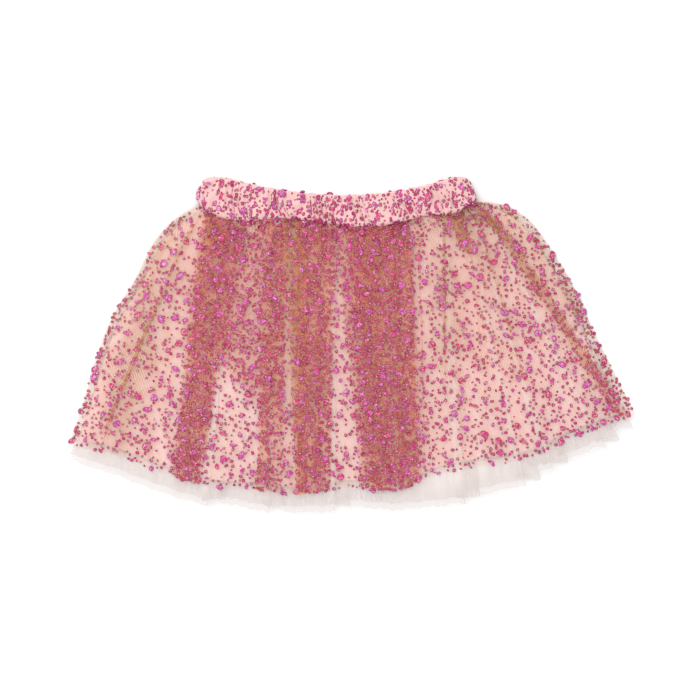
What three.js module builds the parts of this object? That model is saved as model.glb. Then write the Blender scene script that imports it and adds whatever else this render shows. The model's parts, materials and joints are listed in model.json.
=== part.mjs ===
// A child's gathered tulle skirt, lying flat on its back with its front up.
// Millimetres. X runs across the skirt, Y from hem to waist, Z up from the surface it lies on.
import * as THREE from 'three';

const { lerp, clamp, smoothstep } = THREE.MathUtils;

// Cloth walls and the places between them
const WALL = 1.0;
const PITCH = 1.5;
const SEAM_GAP = 0.5;
const FRONT_EASE = 0.35;
const level = (count) => WALL / 2 + count * PITCH;
const TULLE_TOP = level(4) + FRONT_EASE;
const NET_TOP = level(5) + 2 * FRONT_EASE;

// Outer net panels: the two sides, from the waist seam (down = 0) to the hem (down = 1)
const SIDES = [
  { down: 0.0, leftX: -131.0, leftY: 119.0, rightX: 104.5, rightY: 121.5 },
  { down: 0.1, leftX: -151.0, leftY: 106.2, rightX: 128.2, rightY: 119.1 },
  { down: 0.2, leftX: -167.0, leftY: 89.0, rightX: 149.0, rightY: 107.4 },
  { down: 0.35, leftX: -183.5, leftY: 57.0, rightX: 170.3, rightY: 79.0 },
  { down: 0.5, leftX: -202.0, leftY: 26.6, rightX: 188.8, rightY: 48.5 },
  { down: 0.65, leftX: -216.0, leftY: -6.0, rightX: 203.4, rightY: 15.7 },
  { down: 0.8, leftX: -226.1, leftY: -40.4, rightX: 219.2, rightY: -16.5 },
  { down: 1.0, leftX: -241.0, leftY: -86.0, rightX: 241.0, rightY: -59.0 },
];

// The line where the gathers meet the waistband, and the waistband's folded top edge
const WAIST_SEAM = [
  { x: -131.0, y: 119.0 },
  { x: -120.0, y: 111.4 },
  { x: -93.0, y: 104.8 },
  { x: -60.0, y: 107.0 },
  { x: -30.0, y: 104.0 },
  { x: 10.0, y: 99.6 },
  { x: 40.0, y: 102.8 },
  { x: 60.0, y: 108.6 },
  { x: 88.0, y: 111.6 },
  { x: 104.5, y: 121.5 },
];
const BAND_TOP = [
  { x: -128.0, y: 141.0 },
  { x: -112.0, y: 142.0 },
  { x: -88.0, y: 136.6 },
  { x: -52.0, y: 130.0 },
  { x: -5.0, y: 126.8 },
  { x: 42.0, y: 131.0 },
  { x: 66.0, y: 136.0 },
  { x: 90.0, y: 142.2 },
  { x: 99.0, y: 141.4 },
];

// The outer net's hem
const NET_HEM = [
  { x: -241.0, y: -86.0 },
  { x: -206.0, y: -91.0 },
  { x: -156.0, y: -109.5 },
  { x: -119.0, y: -119.5 },
  { x: -80.0, y: -122.5 },
  { x: -46.0, y: -126.5 },
  { x: -3.0, y: -120.5 },
  { x: 40.0, y: -122.0 },
  { x: 70.0, y: -110.0 },
  { x: 103.0, y: -103.0 },
  { x: 141.0, y: -97.5 },
  { x: 195.0, y: -74.5 },
  { x: 241.0, y: -59.0 },
];

// The tulle underskirt's hem: it steps up to the right wherever one fold lies over the next
const TULLE_HEM = [
  { x: -236.0, y: -98.0 },
  { x: -222.0, y: -103.0 },
  { x: -200.0, y: -109.5 },
  { x: -177.0, y: -119.0 },
  { x: -144.5, y: -130.0 },
  { x: -121.0, y: -136.0 },
  { x: -119.0, y: -131.3 },
  { x: -101.0, y: -135.0 },
  { x: -71.0, y: -141.8 },
  { x: -68.5, y: -136.0 },
  { x: -54.0, y: -142.0 },
  { x: -18.0, y: -140.8 },
  { x: -13.5, y: -134.4 },
  { x: 16.0, y: -137.8 },
  { x: 35.0, y: -139.4 },
  { x: 66.0, y: -137.0 },
  { x: 88.0, y: -134.2 },
  { x: 90.5, y: -130.0 },
  { x: 114.0, y: -125.5 },
  { x: 139.0, y: -119.8 },
  { x: 141.0, y: -112.4 },
  { x: 162.5, y: -105.0 },
  { x: 165.0, y: -101.0 },
  { x: 190.0, y: -94.4 },
  { x: 206.0, y: -86.4 },
  { x: 208.0, y: -83.0 },
  { x: 227.0, y: -71.0 },
];

// Knife laps laid in the outer net: each is three layers deep and opens at its right edge
const LAPS = [
  { name: 'left', edgeWaist: -86.0, edgeHem: -133.0, widthWaist: 40.0, widthHem: 17.0 },
  { name: 'inner left', edgeWaist: -54.0, edgeHem: -61.0, widthWaist: 19.0, widthHem: 18.0 },
  { name: 'centre', edgeWaist: -13.0, edgeHem: -18.0, widthWaist: 29.0, widthHem: 29.0 },
  { name: 'inner right', edgeWaist: 53.5, edgeHem: 59.5, widthWaist: 54.0, widthHem: 51.0 },
];
const LAP_PITCH = 1.6;
const LAP_LAYERS = 2;
const TURN_STEPS = 4;
const HIDDEN_STEPS = 7;

// Small gathers pushed up where the net is sewn to the waistband, fading towards the hem
const GATHERS = 26;
const GATHER_HEIGHT = 1.9;
const GATHER_REACH = 0.42;
const GATHER_STRAY = 0.55;
const GATHER_COLUMN = 2.5;
const GATHER_CALM = 4.0;

// Broad soft ridges that every front layer shares, fanning out from waist to hem
const RIDGES = [
  { across: 0.075, width: 0.034, height: 2.4 },
  { across: 0.27, width: 0.03, height: 1.3 },
  { across: 0.74, width: 0.028, height: 1.8 },
  { across: 0.83, width: 0.034, height: 2.6 },
  { across: 0.92, width: 0.03, height: 2.0 },
];
const PUFF = 2.2;
const SIDE_ROUND = 26;
const TULLE_INSET = 10;
const TULLE_ROUND = 16;
const TULLE_COLUMN = 13;
const LINING_INSET_WAIST = 26;
const LINING_INSET_HEM = 40;
const LINING_SHORT = 24;
const LINING_COLUMNS = 36;
const BACK_SHORT = 4;
const NET_BACK_COLUMNS = 32;

// Waistband: elastic in a gathered casing, pressed flat
const BAND_WALL = 4.2;
const BAND_HOLLOW = 0.6;
const BAND_ROWS = [
  { up: 0.0, fullness: 0.66 },
  { up: 0.1, fullness: 0.94 },
  { up: 0.36, fullness: 1.0 },
  { up: 0.7, fullness: 1.0 },
  { up: 0.92, fullness: 0.9 },
  { up: 1.0, fullness: 0.58 },
];
const BAND_ENDS = { leftSeam: -131.0, leftTop: -128.5, rightSeam: 104.5, rightTop: 99.5, bow: 3.0 };
const PUCKERS = 26;
const PUCKER_HEIGHT = 0.8;
const PUCKER_COLUMNS = 78;
const BAND_BACK_COLUMNS = 26;
const BAND_END_STEPS = 5;

// A smooth or straight line through a table, read from one column to another
const smoothLine = (rows, from, to) => {
  const line = new THREE.CubicInterpolant(rows.map((row) => row[from]), rows.map((row) => row[to]), 1, [0]);
  return (at) => line.evaluate(at)[0];
};
const straightLine = (rows, from, to) => {
  const line = new THREE.LinearInterpolant(rows.map((row) => row[from]), rows.map((row) => row[to]), 1, [0]);
  return (at) => line.evaluate(at)[0];
};

// The sides run on straight below the net's hem, for the longer underskirt
const sideLine = (column) => {
  const line = smoothLine(SIDES, 'down', column);
  const slope = (line(1) - line(0.9)) / 0.1;
  return (down) => (down <= 1 ? line(down) : line(1) + (down - 1) * slope);
};
const leftX = sideLine('leftX');
const leftY = sideLine('leftY');
const rightX = sideLine('rightX');
const rightY = sideLine('rightY');
const seamY = smoothLine(WAIST_SEAM, 'x', 'y');
const netHemY = smoothLine(NET_HEM, 'x', 'y');
const tulleHemY = straightLine(TULLE_HEM, 'x', 'y');
const bandTopY = smoothLine(BAND_TOP, 'x', 'y');

// The plan: across runs 0 to 1 from left to right, down 0 to 1 from the seam to the net's hem
const rowWidth = (down) => rightX(down) - leftX(down);
const acrossAt = (x, down) => (x - leftX(down)) / rowWidth(down);
const seamAt = (across) => seamY(lerp(leftX(0), rightX(0), across));
const hemAt = (across) => netHemY(lerp(leftX(1), rightX(1), across));

function plan(across, down) {
  const x = lerp(leftX(down), rightX(down), across);
  const sides = lerp(leftY(down), rightY(down), across);
  const straight = lerp(lerp(leftY(0), rightY(0), across), lerp(leftY(1), rightY(1), across), down);
  return { x, y: lerp(seamAt(across), hemAt(across), down) + sides - straight };
}

// How far down a piece reaches, where its own hem is given by y at x
function reach(across, hemY) {
  let down = 1;
  for (let pass = 0; pass < 4; pass += 1) {
    const point = plan(across, down);
    down += (point.y - hemY(point.x)) / (seamAt(across) - hemAt(across));
  }
  return down;
}
const topEdge = (across) => SEAM_GAP / (seamAt(across) - hemAt(across));

// Height that every front layer shares at one place
const quarterSine = (part) => Math.sin(clamp(part, 0, 1) * Math.PI / 2);
const sideDistance = (across, down) => Math.min(across, 1 - across) * rowWidth(down);

function swell(across, down) {
  let height = PUFF * Math.sin(Math.PI * clamp(down, 0, 1)) * Math.sin(Math.PI * clamp(across, 0, 1));
  for (const ridge of RIDGES) {
    const away = (across - ridge.across) / ridge.width;
    height += ridge.height * Math.exp(-away * away) * smoothstep(down, 0, 0.25);
  }
  return height * quarterSine(sideDistance(across, down) / (2 * SIDE_ROUND));
}

const lapEdge = (lap, down) => lerp(lap.edgeWaist, lap.edgeHem, down);
const lapWidth = (lap, down) => lerp(lap.widthWaist, lap.widthHem, down);

function gather(across, down) {
  const { x } = plan(across, down);
  const phase = 2 * Math.PI * (across * GATHERS + GATHER_STRAY * Math.sin(across * GATHERS * 0.7));
  const fade = 1 - smoothstep(down, 0.02, GATHER_REACH);
  const calm = LAPS.reduce((part, lap) => part * smoothstep(Math.abs(x - lapEdge(lap, down)), 1, GATHER_CALM), 1);
  return GATHER_HEIGHT * fade * calm * (1 - Math.cos(phase)) / 2;
}

// One closed wall from an outer and an inner grid of points; a ring's columns close on themselves
function wallMesh(name, outer, inner, material, ring = false) {
  const rows = outer.length;
  const columns = outer[0].length;
  const positions = [];
  const index = [];
  for (const grid of [outer, inner]) {
    for (const row of grid) row.forEach((point) => positions.push(point.x, point.y, point.z));
  }
  const at = (side, row, column) => (side * rows + row) * columns + (column % columns);
  const quad = (a, b, c, d) => index.push(a, b, c, a, c, d);
  const spans = ring ? columns : columns - 1;
  for (let column = 0; column < spans; column += 1) {
    for (let row = 0; row < rows - 1; row += 1) {
      quad(at(0, row, column), at(0, row + 1, column), at(0, row + 1, column + 1), at(0, row, column + 1));
      quad(at(1, row, column), at(1, row, column + 1), at(1, row + 1, column + 1), at(1, row + 1, column));
    }
    quad(at(0, 0, column), at(0, 0, column + 1), at(1, 0, column + 1), at(1, 0, column));
    quad(at(0, rows - 1, column), at(1, rows - 1, column), at(1, rows - 1, column + 1), at(0, rows - 1, column + 1));
  }
  for (let row = 0; !ring && row < rows - 1; row += 1) {
    const last = columns - 1;
    quad(at(0, row, 0), at(1, row, 0), at(1, row + 1, 0), at(0, row + 1, 0));
    quad(at(0, row, last), at(0, row + 1, last), at(1, row + 1, last), at(1, row, last));
  }
  const geometry = new THREE.BufferGeometry();
  geometry.setAttribute('position', new THREE.Float32BufferAttribute(positions, 3));
  geometry.setIndex(index);
  geometry.computeVertexNormals();
  const mesh = new THREE.Mesh(geometry, material);
  mesh.name = name;
  return mesh;
}

// Outer and inner points of a row whose middle line may fold back over itself
function thicken(line) {
  const outer = [];
  const inner = [];
  line.forEach((point, place) => {
    const before = line[Math.max(place - 1, 0)];
    const after = line[Math.min(place + 1, line.length - 1)];
    const run = new THREE.Vector3().subVectors(after, before).normalize();
    const flat = Math.hypot(run.x, run.y) || 1;
    const heading = run.x < 0 ? -1 : 1;
    const slope = (heading * run.y) / flat;
    const lean = (heading * run.x) / flat;
    const normal = new THREE.Vector3(-run.z * lean, -run.z * slope, heading * flat);
    outer.push(point.clone().addScaledVector(normal, WALL / 2));
    inner.push(point.clone().addScaledVector(normal, -WALL / 2));
  });
  return { outer, inner };
}

// A panel: path(part) gives the row of middle points that lies this part of the way to its hem
function panel(name, parts, path, material) {
  const walls = parts.map((part) => thicken(path(part)));
  return wallMesh(name, walls.map((wall) => wall.outer), walls.map((wall) => wall.inner), material);
}

const evenly = (count) => Array.from({ length: count + 1 }, (_, step) => step / Math.max(count, 1));

// A plain layer with no laps, its height given at each place
function plainRow(columns, part, bottom, height) {
  return columns.map((across) => {
    const top = topEdge(across);
    const down = lerp(top, bottom(across), part);
    const { x, y } = plan(across, down);
    return new THREE.Vector3(x, y, height(across, down));
  });
}

// The outer net's front row: gathers, then each lap turns back under and forward again
function netFrontHeight(across, down) {
  const round = quarterSine(sideDistance(across, down) / SIDE_ROUND);
  return lerp(level(1), NET_TOP, round) + swell(across, down);
}

function netFrontRow(part) {
  const points = [];
  const raised = LAP_LAYERS * LAP_PITCH;
  const add = (across, climb, gathered) => {
    const down = lerp(topEdge(clamp(across, 0, 1)), 1, part);
    const { x, y } = plan(across, down);
    const height = netFrontHeight(across, down) + climb + (gathered ? gather(across, down) : 0);
    points.push(new THREE.Vector3(x, y, height));
  };
  const waistX = (across) => lerp(leftX(0), rightX(0), across);
  let from = 0;
  let fromWaist = waistX(0);
  for (const lap of LAPS) {
    const edge = acrossAt(lapEdge(lap, part), part);
    const width = lapWidth(lap, part) / rowWidth(part);
    const hidden = edge - width;
    const climbSteps = Math.max(5, Math.round((lap.edgeWaist - lap.widthWaist - fromWaist) / GATHER_COLUMN));
    for (let step = 0; step < climbSteps; step += 1) {
      const along = step / climbSteps;
      add(lerp(from, hidden, along), raised * smoothstep(along, 0, 1), true);
    }
    const topSteps = Math.round(lap.widthWaist / GATHER_COLUMN);
    for (let step = 0; step < topSteps; step += 1) add(lerp(hidden, edge, step / topSteps), raised, true);
    addTurn(add, edge, 1, raised - LAP_PITCH / 2, part);
    for (let step = 1; step < HIDDEN_STEPS; step += 1) {
      add(lerp(edge, hidden, step / HIDDEN_STEPS), raised - LAP_PITCH, false);
    }
    addTurn(add, hidden, -1, raised - LAP_PITCH * 1.5, part);
    for (let step = 1; step < HIDDEN_STEPS; step += 1) {
      add(lerp(hidden, edge, step / HIDDEN_STEPS), 0, false);
    }
    from = edge;
    fromWaist = lap.edgeWaist;
  }
  const lastSteps = Math.round((rightX(0) - fromWaist) / GATHER_COLUMN);
  for (let step = 0; step <= lastSteps; step += 1) add(lerp(from, 1, step / lastSteps), 0, true);
  return points;
}

// Half a turn of cloth, from the upper run to the lower one; side is 1 at a right edge
function addTurn(add, across, side, middle, part) {
  const radius = LAP_PITCH / 2;
  for (let step = 0; step <= TURN_STEPS; step += 1) {
    const angle = Math.PI * (0.5 - step / TURN_STEPS);
    add(across + (side * radius * Math.cos(angle)) / rowWidth(part), middle + radius * Math.sin(angle), false);
  }
}

const tulleHeight = (low, high) => (across, down) => {
  const inside = sideDistance(across, down) - TULLE_INSET;
  return lerp(low, high, quarterSine(inside / TULLE_ROUND)) + swell(across, down);
};

// The underskirt's columns stand at its hem's own steps, so each step stays crisp
const tulleColumns = TULLE_HEM.flatMap((row, place) => {
  const next = TULLE_HEM[place + 1];
  if (!next) return [row.x];
  const spans = Math.ceil((next.x - row.x) / TULLE_COLUMN);
  return evenly(spans - 1).map((part) => lerp(row.x, next.x, (part * (spans - 1)) / spans));
});

function tulleRow(part, hemRise, height) {
  const first = tulleColumns[0];
  const span = tulleColumns[tulleColumns.length - 1] - first;
  const inset = TULLE_INSET / rowWidth(part);
  return tulleColumns.map((hemX) => {
    const across = lerp(inset, 1 - inset, (hemX - first) / span);
    const bottom = reach(across, () => tulleHemY(hemX) + hemRise);
    const down = lerp(topEdge(across), bottom, part);
    const { x, y } = plan(across, down);
    return new THREE.Vector3(x, y, height(across, down));
  });
}

function liningColumns(part) {
  const inset = lerp(LINING_INSET_WAIST, LINING_INSET_HEM, part) / rowWidth(part);
  return evenly(LINING_COLUMNS).map((across) => lerp(inset, 1 - inset, across));
}
const liningBottom = (across) => reach(across, (x) => netHemY(x) + LINING_SHORT);

// The waistband: one loop of wall for each row of its height
function bandRow({ up, fullness }) {
  const bow = BAND_ENDS.bow * Math.sin(Math.PI * up);
  const half = (BAND_WALL * fullness) / 2;
  const turn = (BAND_WALL + BAND_HOLLOW) / 2;
  const middle = BAND_WALL / 2 + turn;
  const start = lerp(BAND_ENDS.leftSeam, BAND_ENDS.leftTop, up) - bow + turn + BAND_WALL / 2;
  const end = lerp(BAND_ENDS.rightSeam, BAND_ENDS.rightTop, up) + bow - turn - BAND_WALL / 2;
  const outer = [];
  const inner = [];
  const place = (x, z) => new THREE.Vector3(x, lerp(seamY(x), bandTopY(x), up), z);
  const add = (x, side, lift, puckered) => {
    const z = middle + lift * turn;
    outer.push(place(x + side * half, z + lift * (half + puckered)));
    inner.push(place(x - (side * BAND_WALL) / 2, z - (lift * BAND_WALL) / 2));
  };
  for (let step = 0; step <= PUCKER_COLUMNS; step += 1) {
    const along = step / PUCKER_COLUMNS;
    const wave = (1 - Math.cos(2 * Math.PI * PUCKERS * along)) / 2;
    add(lerp(start, end, along), 0, 1, PUCKER_HEIGHT * wave * fullness);
  }
  for (let step = 1; step < BAND_END_STEPS; step += 1) addBandEnd(add, end, 1, step, turn);
  for (let step = 0; step <= BAND_BACK_COLUMNS; step += 1) add(lerp(end, start, step / BAND_BACK_COLUMNS), 0, -1, 0);
  for (let step = 1; step < BAND_END_STEPS; step += 1) addBandEnd(add, start, -1, step, turn);
  return { outer, inner };
}

function addBandEnd(add, x, side, step, turn) {
  const angle = Math.PI * (0.5 - step / BAND_END_STEPS);
  const out = side * Math.cos(angle);
  const lift = side * Math.sin(angle);
  add(x + out * turn, out, lift, 0);
}

const cloth = (color, roughness) => new THREE.MeshStandardMaterial({ color, roughness, metalness: 0 });
const glitterNet = cloth('#c9808a', 0.7);
const ivoryTulle = cloth('#efe3d8', 0.85);
const pinkLining = cloth('#f4cbc8', 0.75);
const pinkBand = cloth('#eab4b6', 0.7);

// How far down each row of a wall lies: closer together where the gathers and the hip's curve are
const NET_PARTS = [0, 0.03, 0.09, 0.17, 0.27, 0.4, 0.55, 0.7, 0.85, 1];
const FRONT_PARTS = evenly(8);
const BACK_PARTS = [0, 0.1, 0.2, 0.35, 0.5, 0.75, 1];
const LINING_BACK_PARTS = [0, 0.35, 1];
const skirt = new THREE.Group();

const bandRows = [...BAND_ROWS].reverse().map(bandRow);
skirt.add(wallMesh('waistband', bandRows.map((row) => row.outer), bandRows.map((row) => row.inner), pinkBand, true));

skirt.add(panel('net_front', NET_PARTS, netFrontRow, glitterNet));
const netBackBottom = (across) => reach(across, (x) => netHemY(x) + BACK_SHORT);
const netBackRow = (part) => plainRow(evenly(NET_BACK_COLUMNS), part, netBackBottom, () => level(0));
skirt.add(panel('net_back', BACK_PARTS, netBackRow, glitterNet));

const tulleFront = (part) => tulleRow(part, 0, tulleHeight(level(2), TULLE_TOP));
const tulleBack = (part) => tulleRow(part, BACK_SHORT, () => level(1));
skirt.add(panel('tulle_front', FRONT_PARTS, tulleFront, ivoryTulle));
skirt.add(panel('tulle_back', BACK_PARTS, tulleBack, ivoryTulle));

const liningFrontHeight = (across, down) => level(3) + swell(across, down);
const liningFront = (part) => plainRow(liningColumns(part), part, liningBottom, liningFrontHeight);
const liningBack = (part) => plainRow(liningColumns(part), part, liningBottom, () => level(2));
skirt.add(panel('lining_front', FRONT_PARTS, liningFront, pinkLining));
skirt.add(panel('lining_back', LINING_BACK_PARTS, liningBack, pinkLining));

export default skirt;
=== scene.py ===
# %% [markdown]
# # A child's tulle skirt, laid flat
#
# The skirt is four things sewn to one waistband: an outer net with raised glitter dots, a longer tulle
# underskirt, a short lining, and the gathered band itself. Each has a front and a back panel. The solid
# model comes first and says where every piece lies. This lesson dresses it: thin folded sheets in place of
# thick walls, see-through net, and thousands of small glitter dots.

# %% Load the frame
import json
from collections import namedtuple

import bpy
import numpy as np
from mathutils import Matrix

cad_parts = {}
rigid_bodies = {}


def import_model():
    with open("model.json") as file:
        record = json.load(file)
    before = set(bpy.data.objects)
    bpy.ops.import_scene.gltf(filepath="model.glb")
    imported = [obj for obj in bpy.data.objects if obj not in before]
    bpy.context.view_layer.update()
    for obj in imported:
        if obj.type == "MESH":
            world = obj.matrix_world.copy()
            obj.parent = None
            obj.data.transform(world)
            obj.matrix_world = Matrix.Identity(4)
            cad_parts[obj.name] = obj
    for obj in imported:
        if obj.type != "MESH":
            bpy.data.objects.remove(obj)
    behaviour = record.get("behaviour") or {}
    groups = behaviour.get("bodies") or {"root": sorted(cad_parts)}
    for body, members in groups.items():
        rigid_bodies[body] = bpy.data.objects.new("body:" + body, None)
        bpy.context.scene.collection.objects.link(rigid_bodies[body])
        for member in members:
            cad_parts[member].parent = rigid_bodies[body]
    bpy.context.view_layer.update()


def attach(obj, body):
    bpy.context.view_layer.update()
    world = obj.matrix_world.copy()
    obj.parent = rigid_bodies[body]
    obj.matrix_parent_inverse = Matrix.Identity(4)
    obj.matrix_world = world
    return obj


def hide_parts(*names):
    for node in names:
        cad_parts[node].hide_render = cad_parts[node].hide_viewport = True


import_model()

# %% [markdown]
# ## Camera, floor and light
#
# The skirt was photographed from straight above on white. A long lens from 1.5 m keeps the outline free of
# perspective. The photograph covers 586.5 mm of the table, and its middle lies 6 mm left of the skirt's
# own. A bright even sky does most of the lighting, as a white studio does, and one large soft lamp from the
# upper left gives the folds and the dots their small shadows. Light has to get through stacks of net, so it
# may pass more see-through faces and bounce more often than Blender allows at first: otherwise the stacks
# turn grey.

# %% Camera
MM = 0.001
PHOTO_WIDTH = 586.5 * MM
PHOTO_MIDDLE = (-5.9 * MM, 0.0)
LENS = 90.0
SENSOR = 36.0


def link(item):
    bpy.context.scene.collection.objects.link(item)
    return item


camera = link(bpy.data.objects.new("camera", bpy.data.cameras.new("camera")))
camera.data.lens = LENS
camera.data.sensor_width = SENSOR
camera.location = (*PHOTO_MIDDLE, PHOTO_WIDTH * LENS / SENSOR)
bpy.context.scene.camera = camera
print("camera height, m:", round(camera.location.z, 3))

# %% Colour and node helpers


def linear(code, alpha=1.0):
    """An sRGB hex colour as linear red, green, blue and alpha, by the sRGB curve."""
    values = [int(code[place:place + 2], 16) / 255 for place in (1, 3, 5)]
    return (*[v / 12.92 if v <= 0.04045 else ((v + 0.055) / 1.055) ** 2.4 for v in values], alpha)


def add(tree, kind, inputs=(), stops=(), **settings):
    """Adds a node. Inputs that are nodes or sockets are linked; stops are a ramp's places and hex colours."""
    node = tree.nodes.new(kind)
    for name, value in settings.items():
        setattr(node, name, value)
    for name, value in dict(inputs).items():
        if isinstance(value, bpy.types.Node):
            value = value.outputs[0]
        if isinstance(value, bpy.types.NodeSocket):
            tree.links.new(value, node.inputs[name])
        else:
            node.inputs[name].default_value = value
    if stops:
        elements = node.color_ramp.elements
        while len(elements) < len(stops):
            elements.new(0.5)
        for element, (place, code) in zip(elements, stops):
            element.position = place
            element.color = linear(code)
    return node


def new_material(name):
    """An empty node material and its tree."""
    material = bpy.data.materials.new(name)
    material.use_nodes = True
    material.node_tree.nodes.clear()
    return material, material.node_tree


# %% Floor, sky and lamp
FLOOR_SIZE = 6.0
FLOOR_DROP = 0.15 * MM
SKY_STRENGTH = 0.97
LAMP_POWER = 12.0
LAMP_SIZE = 1.1
LAMP_PLACE = (-0.9, 0.9, 1.5)
SEE_THROUGH_LAYERS = 32
LAYER_BOUNCES = 10


def plain_floor():
    """Seamless paper: matt and nearly white, so that only soft shadows show on it."""
    bpy.ops.mesh.primitive_plane_add(size=FLOOR_SIZE, location=(0, 0, -FLOOR_DROP))
    floor = bpy.context.object
    floor.name = "floor"
    material, tree = new_material("seamless paper")
    paper = add(tree, "ShaderNodeBsdfPrincipled", {
        "Base Color": linear("#fcfcfc"), "Roughness": 0.9, "Specular IOR Level": 0.1})
    add(tree, "ShaderNodeOutputMaterial", {"Surface": paper})
    floor.data.materials.append(material)


def studio():
    """An even white sky and one large soft lamp."""
    world = bpy.data.worlds.new("studio")
    bpy.context.scene.world = world
    world.use_nodes = True
    world.node_tree.nodes["Background"].inputs["Color"].default_value = (1, 1, 1, 1)
    world.node_tree.nodes["Background"].inputs["Strength"].default_value = SKY_STRENGTH
    lamp = link(bpy.data.objects.new("soft lamp", bpy.data.lights.new("soft lamp", "AREA")))
    lamp.data.energy = LAMP_POWER
    lamp.data.size = LAMP_SIZE
    lamp.location = LAMP_PLACE
    aim = -lamp.location
    lamp.rotation_mode = "QUATERNION"
    lamp.rotation_quaternion = aim.to_track_quat("-Z", "Y")
    bpy.context.scene.view_settings.view_transform = "Standard"
    bpy.context.scene.cycles.transparent_max_bounces = SEE_THROUGH_LAYERS
    bpy.context.scene.cycles.diffuse_bounces = LAYER_BOUNCES


plain_floor()
studio()

# %% [markdown]
# ## The plan of the skirt
#
# Every panel is drawn on one plan, so that all of them nest. Across runs 0 to 1 from the left side to the
# right one, and down runs 0 to 1 from the waist seam to the net's hem. The tables hold the outline in
# millimetres, read from the photograph at 0.85 mm a pixel, and smooth curves run through them.

# %% Outline tables
SIDES = [  # down, left x, left y, right x, right y
    (0.0, -131.0, 119.0, 104.5, 121.5),
    (0.1, -151.0, 106.2, 128.2, 119.1),
    (0.2, -167.0, 89.0, 149.0, 107.4),
    (0.35, -183.5, 57.0, 170.3, 79.0),
    (0.5, -202.0, 26.6, 188.8, 48.5),
    (0.65, -216.0, -6.0, 203.4, 15.7),
    (0.8, -226.1, -40.4, 219.2, -16.5),
    (1.0, -241.0, -86.0, 241.0, -59.0),
]
WAIST_SEAM = [  # x, y
    (-131.0, 119.0), (-120.0, 111.4), (-93.0, 104.8), (-60.0, 107.0), (-30.0, 104.0),
    (10.0, 99.6), (40.0, 102.8), (60.0, 108.6), (88.0, 111.6), (104.5, 121.5),
]
BAND_TOP = [
    (-128.0, 141.0), (-112.0, 142.0), (-88.0, 136.6), (-52.0, 130.0), (-5.0, 126.8),
    (42.0, 131.0), (66.0, 136.0), (90.0, 142.2), (99.0, 141.4),
]
NET_HEM = [
    (-241.0, -86.0), (-206.0, -91.0), (-156.0, -109.5), (-119.0, -119.5), (-80.0, -122.5),
    (-46.0, -126.5), (-3.0, -120.5), (40.0, -122.0), (70.0, -110.0), (103.0, -103.0),
    (141.0, -97.5), (195.0, -74.5), (241.0, -59.0),
]
# The underskirt's hem, one stretch for each fold: its end drops behind the next fold's start
TULLE_HEM = [
    [(-236.0, -98.0), (-222.0, -103.0), (-200.0, -109.5), (-177.0, -119.0), (-144.5, -130.0),
     (-120.0, -136.2)],
    [(-120.0, -131.3), (-101.0, -135.0), (-69.5, -141.8)],
    [(-69.5, -136.0), (-54.0, -141.8), (-35.0, -141.2), (-15.5, -140.6)],
    [(-15.5, -134.4), (16.0, -137.8), (35.0, -139.4), (66.0, -137.0), (89.5, -134.0)],
    [(89.5, -130.0), (114.0, -125.5), (140.0, -119.6)],
    [(140.0, -112.4), (164.0, -104.8)],
    [(164.0, -101.0), (190.0, -94.4), (207.0, -86.4)],
    [(207.0, -83.0), (219.0, -77.0), (230.0, -70.0)],
]

print("steps of the underskirt's hem:", len(TULLE_HEM) - 1)

# %% Curves through the tables


def smooth_line(rows, column=1):
    """A smooth curve through a table, from its first column to another one."""
    table = np.array(rows)
    places, values = table[:, 0], table[:, column]
    slopes = np.gradient(values, places)

    def line(at):
        at = np.clip(at, places[0], places[-1])
        step = np.clip(np.searchsorted(places, at) - 1, 0, len(places) - 2)
        span = places[step + 1] - places[step]
        t = (at - places[step]) / span
        start = (1 + 2 * t) * (1 - t) ** 2 * values[step] + t * (1 - t) ** 2 * span * slopes[step]
        end = t * t * (3 - 2 * t) * values[step + 1] + t * t * (t - 1) * span * slopes[step + 1]
        return start + end

    return line


LAST_STRETCH = 0.05


def side_line(column):
    """One side of the plan, carried on straight below the net's hem."""
    line = smooth_line(SIDES, column)
    slope = float(line(1.0) - line(1.0 - LAST_STRETCH)) / LAST_STRETCH
    return lambda down: line(down) + np.maximum(down - 1.0, 0.0) * slope


left_x, left_y, right_x, right_y = [side_line(column) for column in (1, 2, 3, 4)]
seam_y = smooth_line(WAIST_SEAM)
band_top_y = smooth_line(BAND_TOP)
net_hem_y = smooth_line(NET_HEM)


def lerp(start, end, part):
    """The value at this part of the way from start to end."""
    return start + (end - start) * part


def smoothstep(at, low, high):
    """Eases from 0 at low to 1 at high."""
    part = np.clip((at - low) / (high - low), 0.0, 1.0)
    return part * part * (3 - 2 * part)


def row_width(down):
    return right_x(down) - left_x(down)


def seam_at(across):
    return seam_y(lerp(left_x(0.0), right_x(0.0), across))


def hem_at(across):
    return net_hem_y(lerp(left_x(1.0), right_x(1.0), across))


def plan(across, down):
    """The place on the plan, in millimetres."""
    x = lerp(left_x(down), right_x(down), across)
    sides = lerp(left_y(down), right_y(down), across)
    first = lerp(left_y(0.0), right_y(0.0), across)
    last = lerp(left_y(1.0), right_y(1.0), across)
    return x, lerp(seam_at(across), hem_at(across), down) + sides - lerp(first, last, down)


CORRECTIONS = 4


def reach(across, hem):
    """How far down a piece reaches, where hem gives its own hem's y at x: found by a few corrections."""
    down = np.ones_like(across)
    for _ in range(CORRECTIONS):
        x, y = plan(across, down)
        down = down + (y - hem(x)) / (seam_at(across) - hem_at(across))
    return down


print("seam, mm:", round(float(row_width(0.0)), 1), "hem, mm:", round(float(row_width(1.0)), 1))

# %% [markdown]
# ## Heights
#
# The solid model stacks 1 mm walls, and the thin sheets lie in the middle of them. The front layers share
# one gentle swell with a few broad ridges, so that none cuts through another, and each comes down at its
# side to meet its back panel.

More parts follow.
